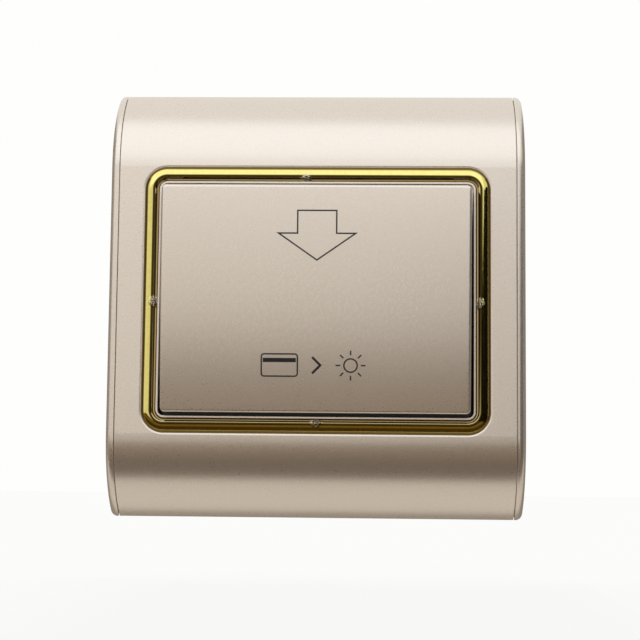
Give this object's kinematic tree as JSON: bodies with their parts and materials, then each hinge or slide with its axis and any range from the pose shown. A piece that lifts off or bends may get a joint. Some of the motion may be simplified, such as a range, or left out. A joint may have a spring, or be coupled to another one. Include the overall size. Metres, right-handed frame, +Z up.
{
  "type": "hotel key card switch",
  "caption": "Wall-mounted hotel key card switch: champagne plate rolled at top and bottom, gold ring, leaning card pocket with a down arrow, contactless reader coil and load relay.",
  "frame": {"origin": "middle of the two wall screws, on the plane of the wall", "axes": "+Z up the wall, -Y out of the wall towards the user, +X to the user's right"},
  "size_m": [0.086, 0.0423, 0.0896],
  "materials": {
    "champagne_paint": "satin champagne metallic paint on moulded plastic",
    "gold_plating": "bright gold-coloured plating",
    "ivory_plastic": "moulded, fine grain",
    "black_plastic": "moulded, fine grain",
    "relay_case": "smooth moulded",
    "board_laminate": "green solder mask",
    "copper_wire": "enamelled copper wire",
    "contact_brass": "rolled sheet",
    "plated_steel": "bright zinc plating",
    "soft_iron": "nickel plated",
    "clear_lens": "water clear",
    "film_case": "yellow moulded box",
    "foil_sleeve": "dark blue shrink sleeve",
    "disc_coating": "blue dipped coating"
  },
  "bodies": {
    "base": {"mounting_frame": "ivory_plastic", "rear_housing": "black_plastic", "housing_screws": "plated_steel", "main_board": "board_laminate", "antenna_coil": "copper_wire", "locator_led": "clear_lens", "controller_chip": "black_plastic", "dropper_capacitor": "film_case", "filter_capacitor": "foil_sleeve", "bridge_rectifier": "black_plastic", "surge_varistor": "disc_coating", "terminal_block": "black_plastic", "terminal_plates": "contact_brass", "terminal_clamps": "plated_steel", "terminal_screws": "plated_steel", "relay_base": "black_plastic", "relay_cover": "relay_case", "relay_bobbin": "ivory_plastic", "relay_winding": "copper_wire", "relay_yoke": "soft_iron", "relay_core": "soft_iron", "fixed_contact": "contact_brass"},
    "front_cover": {"face_plate": "champagne_paint", "left_end_cap": "champagne_paint", "right_end_cap": "champagne_paint", "trim_ring": "gold_plating", "card_tray": "champagne_paint", "card_panel": "champagne_paint", "tray_screws": "plated_steel", "panel_screws": "plated_steel"},
    "armature": {"relay_armature": "soft_iron", "contact_blade": "contact_brass", "moving_contact": "contact_brass"}
  },
  "joints": [
    {"name": "cover_release", "type": "slide", "parent": "base", "child": "front_cover", "axis": [0, -1, 0], "range_m": [0, 0.03]},
    {"name": "armature_pivot", "type": "hinge", "parent": "base", "child": "armature", "pos_m": [-0.0022, 0.0189, 0.0042], "axis": [0, 0, -1], "range_deg": [0, 2.85], "stiffness_Nm_per_rad": 0.05, "springref_deg": -5.73}
  ]
}
